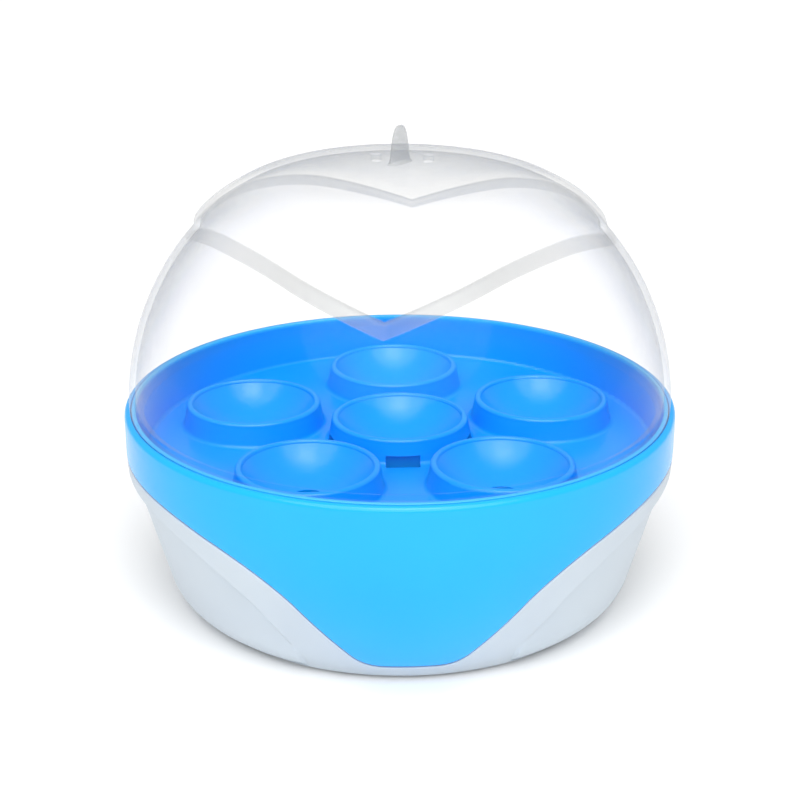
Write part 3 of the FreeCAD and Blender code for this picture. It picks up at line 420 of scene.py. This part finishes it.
# ---- thermostat and thermal fuse --------------------------------------------------
# A snap disc thermostat in a phenolic case under a steel bracket, and a fuse in a woven
# sleeve under a spring clip, both screwed to the plate.
# Phenolic moulding: black with a trace of brown, dull where the filler shows.
wear(finish("black_phenolic", "211D1A", "171513", 0.48, 8, 0.6, 0.01), "thermostat")
wear(zinc_steel, "thermostat_bracket", "bracket_screws", "fuse_clip")

# Woven fibreglass: cream, quite matt, with the weave as bumps 0.8 mm apart.
wear(finish("woven_fibreglass", "ECE6D8", "D3CCBA", 0.85, 3, 0.8, 0.15), "thermal_fuse")

# ---- terminal block and leads -----------------------------------------------------
# A nylon block with brass clamps joins the cord to the switch and heater leads.
# Nylon, unpainted: ivory, slightly waxy.
wear(finish("ivory_nylon", "EAE4D0", "DED6BF", 0.45, 20, 0.7, 0.008,
            **{"Subsurface Weight": 0.15, "Subsurface Radius": (1, 0.9, 0.7),
               "Subsurface Scale": 0.001}), "terminal_block")

# Turned brass: warm yellow, a little dulled in patches by handling.
wear(finish("turned_brass", "DDBB72", "C39C50", 0.28, 5, 0.6, 0.003, Metallic=1.0),
     "terminal_clamps")

# Cable insulation: smooth coloured skin with the slight ripple of an extruded wire.
wear(finish("brown_insulation", "71452A", "663D24", 0.38, 12, 1.2, 0.02), "live_lead")
wear(finish("blue_insulation", "2F73B8", "2968AA", 0.38, 12, 1.2, 0.02), "neutral_lead")
wear(finish("white_insulation", "E8E8E4", "DFDFDA", 0.42, 12, 1.2, 0.02),
     "thermostat_lead", "fuse_lead", "element_lead")

# ---- blue upper housing --------------------------------------------------------
# Glossy sky-blue polypropylene moulding: a shield at the front and the back, the rounded
# rim, the ledge that the tray sits on and the basin round the water well.
SHELL = 2.0
SHIELD_ROUND = 0.7
SKIRT_TOP = 52.0
INNER_TOP = 50.5
SKIRT_ROWS, INNER_ROWS, CORNER_ROWS = 28, 18, 6


def rounded(corners, count=4):
    """An outline through (x, z, fillet radius) corners, with each fillet as short chords."""
    points = []
    last = len(corners) - 1
    for i, (x, z, radius) in enumerate(corners):
        here = Vector((x, z))
        if radius == 0 or i in (0, last):
            points.append((x, z))
            continue
        back = (Vector(corners[i - 1][:2]) - here).normalized()
        ahead = (Vector(corners[i + 1][:2]) - here).normalized()
        half = back.angle(ahead) / 2
        reach = radius / math.tan(half)
        start, stop = here + back * reach, here + ahead * reach
        turn = radius if back.cross(ahead) < 0 else -radius
        points.append(tuple(start))
        points.extend(arc(start, stop, turn, count))
    return points


RIM_AND_BASIN = rounded(
    [(85.0, 54.0, 0), (85.0, 57.0, 0), (85.0, 61.7, 1.6), (83.1, 61.7, 0.25), (83.1, 56.0, 0.3),
     (81.9, 56.0, 0.3), (80.6, 46.5, 1.5), (78.4, 44.2, 1.5), (62.0, 36.5, 2.0),
     (54.5, 36.5, 0.5), (54.5, 32.0, 0.3), (56.2, 32.0, 0.3), (56.2, 34.7, 0.3),
     (62.4, 34.7, 1.0), (79.0, 42.5, 1.0), (82.0, 45.2, 0.8), (82.0, 48.6, 0.3),
     (82.9, 50.2, 0)])


def upper_place(row, angle):
    """Where a vertex of the upper housing goes."""
    edge = meet("shield", fold(angle), side)
    if row < CORNER_ROWS:
        bend = QUARTER * row / (CORNER_ROWS - 1)
        z = edge + SHIELD_ROUND * (1 - math.cos(bend))
        return angle, side(z) - SHIELD_ROUND * (1 - math.sin(bend)), z
    row -= CORNER_ROWS
    if row < SKIRT_ROWS:
        z = mix(edge + SHIELD_ROUND, SKIRT_TOP, (row + 1) / SKIRT_ROWS)
        return angle, side(z), z
    row -= SKIRT_ROWS
    if row < len(RIM_AND_BASIN):
        return angle, *RIM_AND_BASIN[row]
    row -= len(RIM_AND_BASIN)
    z = mix(INNER_TOP, edge, row / (INNER_ROWS - 1))
    return angle, side(z, SHELL), z


upper_rows = CORNER_ROWS + SKIRT_ROWS + len(RIM_AND_BASIN) + INNER_ROWS
form = turned(upper_rows, COLUMNS, upper_place)

upper = object_from("blue_shell", form)

# The recess at the back that the rocker switch is clipped into: a pad behind the skirt,
# sunk from outside down to a flat seat, with an opening for the switch's body.
SEAT_Y = 76.2
SWITCH_Z = 27.0
PAD_HALF = 12.6
PAD_HEIGHT = (18.2, 36.0)
PAD_CUTS = 7
RECESS_HALF = (11.2, 8.0)
OPENING_HALF = (9.6, 6.5)
SEAT_CLEAR = 4.0


def box(low, high):
    """A closed box between two corners."""
    form = bmesh.new()
    bmesh.ops.create_cube(form, size=1.0)
    for vert in form.verts:
        vert.co = Vector([(high[k] if vert.co[k] > 0 else low[k]) * MM for k in range(3)])
    return form


pad = box((-PAD_HALF, SEAT_Y - SHELL, PAD_HEIGHT[0]), (PAD_HALF, RIM_RADIUS, PAD_HEIGHT[1]))
bmesh.ops.subdivide_edges(pad, edges=pad.edges[:], cuts=PAD_CUTS, use_grid_fill=True)
for vert in pad.verts:
    if vert.co.y > (RIM_RADIUS - 0.1) * MM:
        x, z = vert.co.x / MM, vert.co.z / MM
        vert.co.y = math.sqrt(side(z, SHELL / 2) ** 2 - x ** 2) * MM
    elif vert.co.y > SEAT_Y * MM:
        vert.co.y = (SEAT_Y - SHELL / 2) * MM
bmesh.ops.recalc_face_normals(pad, faces=pad.faces[:])
cut(upper, pad, "UNION")
cut(upper, box((-RECESS_HALF[0], SEAT_Y, SWITCH_Z - RECESS_HALF[1]),
               (RECESS_HALF[0], RIM_RADIUS + SEAT_CLEAR, SWITCH_Z + RECESS_HALF[1])))
cut(upper, box((-OPENING_HALF[0], SEAT_Y - SEAT_CLEAR, SWITCH_Z - OPENING_HALF[1]),
               (OPENING_HALF[0], SEAT_Y + SEAT_CLEAR, SWITCH_Z + OPENING_HALF[1])))

# The round notch that the cord gland sits in.
GLAND_NOTCH = 6.9
cut(upper, gland_bore(GLAND_NOTCH))
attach(upper, "base")
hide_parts("upper_housing")

# Polypropylene from a polished tool: saturated sky blue, glossy, with the faint waviness
# that such mouldings have, about 6 mm from crest to crest.
BLUE_DEPTH = {"IOR": POLYPROPYLENE_IOR, "Specular IOR Level": 0.4, "Subsurface Weight": 0.05,
              "Subsurface Radius": (0.3, 0.8, 1), "Subsurface Scale": 0.001}
blue_plastic = finish("blue_polypropylene", "19B0FF", "14ACFC", 0.2, 60, 6.0, 0.01, **BLUE_DEPTH)
upper.data.materials.append(blue_plastic)

# ---- rocker switch and cord gland -----------------------------------------------
# A bought-in rocker switch clipped into the recess at the back, and the rubber gland that
# holds the cord where the housings meet.
# Glass-filled nylon: black, with the fine speckled dullness of its filler.
wear(finish("black_nylon", "26282A", "1C1D1F", 0.5, 6, 0.6, 0.012), "switch_frame")

# The rocker's own plastic is polished: near black with a sharp shine.
wear(finish("gloss_black_abs", "141517", "101113", 0.14, 20, 3.0, 0.004), "switch_rocker")
wear(pale_rubber, "cord_gland")

# ---- egg tray ------------------------------------------------------------------
# The lift-out tray with six cups, moulded in the housing's blue polypropylene; it drops
# onto the ledge inside the rim.
# The same plastic with less polish. Below the lip it is painted a deeper blue as painted shade,
# standing in for the walls shading one another; on the lip it is as light as the housing.
TRAY_LIP_Z = 60.6
PAINTED_SHADE_FADE = 0.8
tray_blue_painted_shade = finish("tray_polypropylene_painted_shade", "0099FA", "0093F4", 0.24, 60, 6.0, 0.01, **BLUE_DEPTH)
tray_nodes = tray_blue_painted_shade.node_tree.nodes
tray_place = add(tray_blue_painted_shade, "ShaderNodeTexCoord")
tray_axes = add(tray_blue_painted_shade, "ShaderNodeSeparateXYZ", None, {0: tray_place.outputs["Object"]})
# Painted shade mask: 0 below the lip, where the deep blue stands in for shade, rising to 1 on the
# lip.
lip_out_of_painted_shade = add(tray_blue_painted_shade, "ShaderNodeMapRange",
             {"From Min": TRAY_LIP_Z * MM, "From Max": (TRAY_LIP_Z + PAINTED_SHADE_FADE) * MM},
             {"Value": tray_axes.outputs["Z"]})
# Mixes the painted-shade deep blue below the lip with the light blue of the lip.
tray_painted_shade_mix = add(tray_blue_painted_shade, "ShaderNodeMixRGB", {"Color2": hexcolour("2CB9FF")},
                 {"Fac": lip_out_of_painted_shade.outputs[0], "Color1": tray_nodes["Color Ramp"].outputs["Color"]})
tray_blue_painted_shade.node_tree.links.new(tray_painted_shade_mix.outputs[0],
                              tray_nodes["Principled BSDF"].inputs["Base Color"])
wear(tray_blue_painted_shade, "egg_tray")

# ---- clear lid -----------------------------------------------------------------
# Clear polystyrene dome: two low petals whose upper edge dips to a V at the front and the
# back, an inclined shelf along that edge, and the cap that rises from it.
LID_YAW = math.radians(-6)
LID_FOOT = 62.0
LID_ARC = 80.0
LID_FOOT_RADIUS = 83.5
LID_WALL = 2.0
SHELF_RISE = 3.8
BROW = 1.4
BROW_RISE = 3.0
CAP_TOP = 135.9
PETAL_EDGE = [(0, 103.6), (28, 113.6)] + arc((28, 113.6), (48, 117.6), -67)
PETAL_EDGE += arc((48, 117.6), (66, 112.4), -29) + [(70, 109.5)]
CAP = [(70.8, 100.0), (62.3, 116.0)] + arc((62.3, 116.0), (33.0, 134.04), 38.85, 30)
CAP += arc((33.0, 134.04), (0.0, CAP_TOP), 294, 20)
cap_line = np.array(CAP)
cap_run = np.concatenate([[0], np.cumsum(np.hypot(*np.diff(cap_line, axis=0).T))])
PETAL_ROWS, LIP_ROWS, SHELF_ROWS, CREASE_ROWS, CAP_ROWS = 36, 5, 4, 5, 48
CAP_INSIDE_ROWS, PETAL_INSIDE_ROWS = 28, 18
LIP_SHARE = 0.12
CREASE_SHARE = 0.85
CREASE_RUN = 1.0


def petal(z, inset=0.0):
    """Radius of the petals' surface at height z."""
    return LID_FOOT_RADIUS - LID_ARC + math.sqrt((LID_ARC - inset) ** 2 - (z - LID_FOOT) ** 2)


def cap_point(run, inset=0.0):
    """A point on the cap's section, a length along it, moved in by inset."""
    here = np.array([np.interp(run, cap_run, cap_line[:, k]) for k in (0, 1)])
    ahead = np.array([np.interp(run + 0.5, cap_run, cap_line[:, k]) for k in (0, 1)])
    behind = np.array([np.interp(run - 0.5, cap_run, cap_line[:, k]) for k in (0, 1)])
    along = (ahead - behind) / np.hypot(*(ahead - behind))
    out = np.array([along[1], -along[0]])
    if run >= cap_run[-1]:
        out = np.array([0.0, 1.0])
    return here - out * inset


def round_corner(a, corner, b, t):
    """A point on the soft corner from a to b."""
    return (1 - t) ** 2 * a + 2 * t * (1 - t) * corner + t * t * b


OUTLINES["petals"] = PETAL_EDGE


def brow(distance):
    """How far the cap swells just above the shelf."""
    return BROW * distance / BROW_RISE * math.exp(1 - distance / BROW_RISE)


def lid_section(angle):
    """Outer section of the lid, from the foot to the top."""
    low = meet("petals", angle, petal)
    high = low + SHELF_RISE
    start = float(np.interp(high, cap_line[:, 1], cap_run))
    lip = np.array([petal(low), low])
    corner = cap_point(start)
    points = []
    for k in range(PETAL_ROWS):
        z = mix(LID_FOOT + 0.4, low - 0.6, k / (PETAL_ROWS - 1))
        points.append(np.array([petal(z), z]))
    for k in range(1, LIP_ROWS):
        points.append(round_corner(points[PETAL_ROWS - 1], lip, mix(lip, corner, LIP_SHARE),
                                   k / (LIP_ROWS - 1)))
    for k in range(SHELF_ROWS):
        share = mix(LIP_SHARE, CREASE_SHARE, (k + 1) / SHELF_ROWS)
        points.append(mix(lip, corner, share))
    rise = cap_point(start + CREASE_RUN, -brow(CREASE_RUN))
    for k in range(1, CREASE_ROWS):
        points.append(round_corner(mix(lip, corner, CREASE_SHARE), corner, rise,
                                   k / (CREASE_ROWS - 1)))
    for k in range(1, CAP_ROWS + 1):
        run = mix(start + CREASE_RUN, cap_run[-1], k / CAP_ROWS)
        swell = brow(run - start) if k < CAP_ROWS else 0
        points.append(cap_point(run, -swell))
    return points


def lid_inside(angle):
    """Inner section of the lid, from the top to the foot."""
    low = meet("petals", angle, petal)
    start = float(np.interp(low + SHELF_RISE, cap_line[:, 1], cap_run))
    points = []
    for k in range(CAP_INSIDE_ROWS):
        run = mix(cap_run[-1], start, k / (CAP_INSIDE_ROWS - 1))
        swell = brow(run - start) if k > 0 else 0
        points.append(cap_point(run, LID_WALL - swell))
    for k in range(PETAL_INSIDE_ROWS):
        z = mix(low - 1.2, LID_FOOT + 2.0, k / (PETAL_INSIDE_ROWS - 1))
        points.append(np.array([petal(z, LID_WALL), z]))
    return points


LID_RIM = rounded([(80.0, 63.6, 0), (79.2, 63.2, 0.3), (79.2, 59.0, 0.4), (80.5, 59.0, 0.4),
                   (80.5, 62.03, 0.2), (83.5, 62.03, 0.25), (83.5, 62.4, 0)])


@functools.lru_cache(maxsize=None)
def whole_section(angle):
    """The lid's section from the top of the inside round the foot to the top outside."""
    rim = [np.array(p) for p in LID_RIM]
    return lid_inside(angle) + rim + lid_section(angle)


def lid_place(row, angle):
    """Where a vertex of the lid goes."""
    point = whole_section(fold(angle))[row]
    return angle, max(float(point[0]), 0.0), float(point[1])


form = turned(len(whole_section(0.0)), COLUMNS, lid_place, False, LID_YAW)
lid = object_from("clear_lid", form)
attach(lid, "lid")
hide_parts("lid_dome")

# The shelf band is painted a darker grey haze, painted shade that stands in for the shade on its
# step face: a share for each vertex, full between its corners.
INSIDE_COUNT = len(lid_inside(0.0)) + len(LID_RIM)
SHELF_START = INSIDE_COUNT + PETAL_ROWS + LIP_ROWS - 2
SHELF_END = SHELF_START + SHELF_ROWS + 2
rows = [item.value for item in lid.data.attributes["row"].data]
shelf_painted_shade = lid.data.attributes.new("shelf_painted_shade", "FLOAT", "POINT")
for item, row in zip(shelf_painted_shade.data, rows):
    item.value = 1.0 if SHELF_START <= row <= SHELF_END else 0.0

# Two small steam vents behind the knob.
VENT_X = 8.0
VENT_Y = 12.0
VENT_RADIUS = 1.6
VENT_DEPTH = 20.0
for across in (-VENT_X, VENT_X):
    vent = bmesh.new()
    bmesh.ops.create_cone(vent, cap_ends=True, segments=48, radius1=VENT_RADIUS * MM,
                          radius2=VENT_RADIUS * MM, depth=VENT_DEPTH * MM)
    bmesh.ops.translate(vent, verts=vent.verts[:], vec=(across * MM, VENT_Y * MM, CAP_TOP * MM))
    bmesh.ops.rotate(vent, verts=vent.verts[:], cent=(0, 0, 0),
                     matrix=Matrix.Rotation(LID_YAW, 3, "Z"))
    cut(lid, vent)


# The haze thins out towards the lid's foot, below MIST_FULL, and the wall ripples slightly.
MIST_FOOT = 62.0
MIST_FULL = 84.0
MIST_LEAST = 0.3
WAVE_MM = 50.0
WAVE_DEPTH_MM = 0.02
SLANT_POWER = 3.6
SHINE_POWER = 5.0
SHINE_LEAST = 0.003
SHINE_MOST = 0.25
POLYSTYRENE_IOR = 1.59


def clear_plastic(name, least, most, shelf_painted_shade):
    """Clear plastic: least and most are how milky one face is, face on and at a slant, and
    the last argument is how much opacity the shelf band adds, painted a darker grey as shade."""
    material = bpy.data.materials.new(name)
    material.use_nodes = True
    material.node_tree.nodes.clear()
    place = add(material, "ShaderNodeTexCoord")
    haze = add(material, "ShaderNodeTexNoise", {"Scale": 1000 / WAVE_MM, "Detail": 2.0},
               {"Vector": place.outputs["Object"]})
    waves = add(material, "ShaderNodeBump", {"Strength": 1.0, "Distance": WAVE_DEPTH_MM * MM},
                {"Height": haze.outputs["Fac"]})
    facing = add(material, "ShaderNodeLayerWeight", {"Blend": 0.5})
    slant = add(material, "ShaderNodeMath", {1: SLANT_POWER}, {0: facing.outputs["Facing"]},
                operation="POWER")
    veil = add(material, "ShaderNodeMapRange", {"To Min": least, "To Max": most},
               {"Value": slant.outputs[0]})
    # The shelf band's mask, which carries its painted shade.
    shelf_shade_mask = add(material, "ShaderNodeAttribute", attribute_name="shelf_painted_shade")
    axes = add(material, "ShaderNodeSeparateXYZ", None, {0: place.outputs["Object"]})
    mist = add(material, "ShaderNodeMapRange",
               {"From Min": MIST_FOOT * MM, "From Max": MIST_FULL * MM, "To Min": MIST_LEAST,
                "To Max": 1.0}, {"Value": axes.outputs["Z"]})
    misty = add(material, "ShaderNodeMath", None, {0: veil.outputs[0], 1: mist.outputs[0]},
                operation="MULTIPLY")
    square_on = add(material, "ShaderNodeMath", {0: 1.0}, {1: facing.outputs["Facing"]},
                    operation="SUBTRACT")
    shown = add(material, "ShaderNodeMath", None,
                {0: shelf_shade_mask.outputs["Fac"], 1: square_on.outputs[0]}, operation="MULTIPLY")
    veil_and_shelf_shade = add(material, "ShaderNodeMath", {1: shelf_painted_shade},
                  {0: shown.outputs[0], 2: misty.outputs[0]}, operation="MULTIPLY_ADD")
    # Light grey milk elsewhere, and a darker grey on the shelf band as painted shade.
    milk_and_shelf_shade = add(material, "ShaderNodeValToRGB", None, {"Fac": shelf_shade_mask.outputs["Fac"]})
    milk_and_shelf_shade.color_ramp.elements[0].color = hexcolour("A6A9A9")
    milk_and_shelf_shade.color_ramp.elements[1].color = hexcolour("7C7F7F")
    body = add(material, "ShaderNodeBsdfPrincipled", {"Roughness": 0.35, "IOR": POLYSTYRENE_IOR},
               {"Base Color": milk_and_shelf_shade.outputs["Color"], "Alpha": veil_and_shelf_shade.outputs[0],
                "Normal": waves.outputs["Normal"]})
    shine = add(material, "ShaderNodeBsdfGlossy", {"Color": (1, 1, 1, 1), "Roughness": 0.06},
                {"Normal": waves.outputs["Normal"]})
    glance = add(material, "ShaderNodeMath", {1: SHINE_POWER}, {0: facing.outputs["Facing"]},
                 operation="POWER")
    mirror = add(material, "ShaderNodeMapRange", {"To Min": SHINE_LEAST, "To Max": SHINE_MOST},
                 {"Value": glance.outputs[0]})
    skin = add(material, "ShaderNodeMixShader", None,
               {0: mirror.outputs[0], 1: body.outputs[0], 2: shine.outputs[0]})
    add(material, "ShaderNodeOutputMaterial", None, {"Surface": skin.outputs[0]})
    return material


# Polystyrene moulded clear: nearly invisible face on, milky grey at a slant, and a soft
# shine. The waviness of the wall is about 50 mm from crest to crest.
# The last number is how much painted shade the shelf band gets.
lid.data.materials.append(clear_plastic("clear_polystyrene", 0.002, 0.55, 0.5))

# ---- lid knob ------------------------------------------------------------------
# A small leaf-shaped blade in the same plastic, pressed into the middle of the cap.
KNOB_YAW = math.radians(-37)
KNOB_FOOT = 135.6
KNOB_TOP = 147.0
KNOB_LEVELS = 22
KNOB_HALF_LENGTH = 4.4
KNOB_HALF_WIDTH = 1.3
KNOB_FLARE = 0.6
KNOB_COLUMNS = 96
LEVEL_POWER = 1.6
LENGTH_POWER = 0.28
WIDTH_POWER = 0.3
SQUARENESS = 4


def knob_place(row, angle):
    """Where a vertex of the knob goes: an upright leaf, squarish in plan, long axis front
    to back before it is turned."""
    t = row / KNOB_LEVELS
    z = mix(KNOB_FOOT, KNOB_TOP, 1 - (1 - t) ** LEVEL_POWER)
    left = (KNOB_TOP - z) / (KNOB_TOP - KNOB_FOOT)
    if row == KNOB_LEVELS:
        return angle, 0.0, z
    flare = KNOB_FLARE * math.exp(-(z - KNOB_FOOT) / KNOB_FLARE)
    half_length = KNOB_HALF_LENGTH * left ** LENGTH_POWER + flare
    half_width = KNOB_HALF_WIDTH * left ** WIDTH_POWER + flare
    reach = (abs(math.cos(angle) / half_length) ** SQUARENESS
             + abs(math.sin(angle) / half_width) ** SQUARENESS)
    return angle, reach ** (-1 / SQUARENESS), z


form = turned(KNOB_LEVELS + 1, KNOB_COLUMNS, knob_place, False, KNOB_YAW)
knob = object_from("leaf_knob", form, 60)
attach(knob, "lid")
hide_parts("lid_knob")
# The same plastic with a blasted face, which scatters light and looks milky.
knob.data.materials.append(clear_plastic("frosted_polystyrene", 0.38, 0.6, 0.0))

# ---- studio --------------------------------------------------------------------
# A pale paper floor under a broad soft light from the front and above, with a weaker square
# softbox over the front, and the camera a little above the object.
scene = bpy.context.scene
scene.view_settings.view_transform = "Standard"
scene.view_settings.look = "None"
world = bpy.data.worlds.new("studio_air")
world.use_nodes = True
air = world.node_tree.nodes["Background"]
air.inputs["Color"].default_value = (1, 1, 1, 1)
air.inputs["Strength"].default_value = 0.45
scene.world = world

FLOOR_HALF = 2.0
floor_form = bmesh.new()
bmesh.ops.create_grid(floor_form, x_segments=8, y_segments=8, size=FLOOR_HALF)
floor = object_from("studio_floor", floor_form)
paper = finish("matt_white_paper", "FBFBFB", "F9F9F9", 0.9, 300, 2.0, 0.02)
floor.data.materials.append(paper)

MIDDLE_Z = 0.07


def lamp(name, kind, place, power, **settings):
    """A soft light aimed at the middle of the object."""
    data = bpy.data.lights.new(name, kind)
    data.energy = power
    for setting, value in settings.items():
        setattr(data, setting, value)
    light = bpy.data.objects.new(name, data)
    scene.collection.objects.link(light)
    light.location = place
    aim = Vector((0, 0, MIDDLE_Z)) - Vector(place)
    light.rotation_euler = aim.to_track_quat("-Z", "Y").to_euler()


lamp("sky_softbox", "SUN", (-0.05, -0.6, 0.9), 2.6, angle=math.radians(75))
lamp("top_softbox", "AREA", (0.0, -0.5, 1.2), 3, size=0.5, shape="SQUARE")

CAMERA_TILT = 20.6
CAMERA_TURN = -2.5
camera = bpy.data.cameras.new("studio_camera")
camera.lens = 78.3
camera_object = bpy.data.objects.new("studio_camera", camera)
scene.collection.objects.link(camera_object)
camera_object.location = (-0.0221, -0.5073, 0.2514)
camera_object.rotation_euler = (math.radians(90 - CAMERA_TILT), 0, math.radians(CAMERA_TURN))
scene.camera = camera_object
